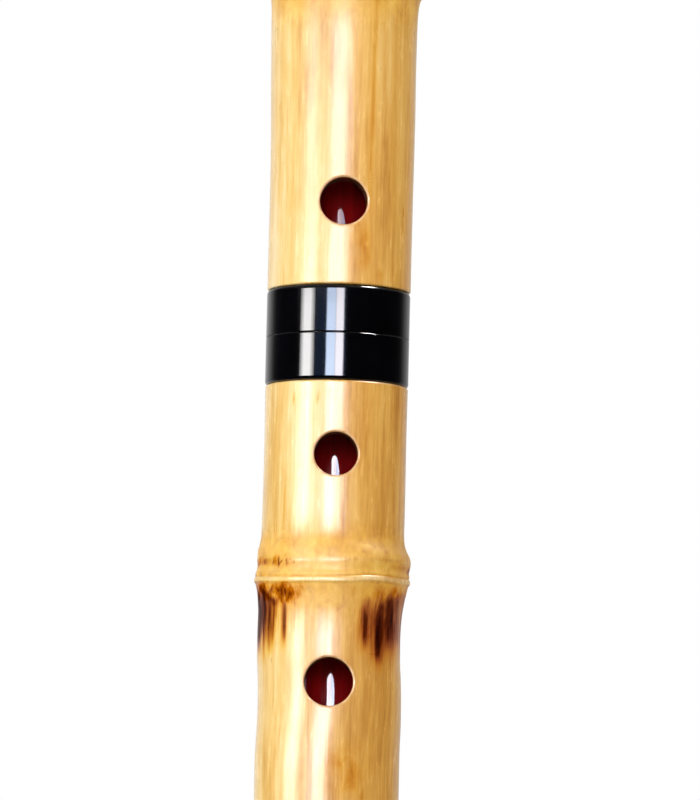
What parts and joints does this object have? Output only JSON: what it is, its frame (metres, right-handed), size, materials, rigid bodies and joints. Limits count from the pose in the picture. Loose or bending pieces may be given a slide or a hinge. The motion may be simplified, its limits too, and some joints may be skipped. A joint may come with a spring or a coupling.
{
  "type": "bamboo flute",
  "caption": "End-blown bamboo flute with a root end, red-lacquered bore, round finger holes and a black-ringed middle joint that twists and pulls apart.",
  "frame": {"origin": "centre of the bore at the flat face of the root end, where the flute stands", "axes": "+Z along the bore from the root end to the mouthpiece; the front finger holes face -Y and the thumb hole faces +Y"},
  "size_m": [0.047, 0.047, 0.545],
  "materials": {
    "bamboo": "polished bamboo skin, clear lacquer, long fine grain",
    "black_ring": "mirror gloss black",
    "binding_thread": "waxed thread set in glue",
    "lacquered_tenon": "dark brown lacquer, satin",
    "red_lacquer": "deep red lacquer, high gloss",
    "black_horn": "polished black horn"
  },
  "bodies": {
    "lower_section": {"lower_bamboo_tube": "bamboo", "lower_bore_lining": "red_lacquer", "lower_joint_ring": "black_ring", "lower_joint_binding": "binding_thread"},
    "tenon": {"joint_tenon": "lacquered_tenon"},
    "upper_section": {"upper_bamboo_tube": "bamboo", "upper_bore_lining": "red_lacquer", "upper_joint_ring": "black_ring", "upper_joint_binding": "binding_thread", "joint_socket_sleeve": "lacquered_tenon", "blowing_edge_inlay": "black_horn"}
  },
  "joints": [
    {"name": "joint_twist", "type": "hinge", "parent": "lower_section", "child": "tenon", "pos_m": [0, 0, 0.2514], "axis": [0, 0, 1], "continuous": true},
    {"name": "joint_pull", "type": "slide", "parent": "tenon", "child": "upper_section", "axis": [0, 0, 1], "range_m": [0, 0.06]}
  ]
}
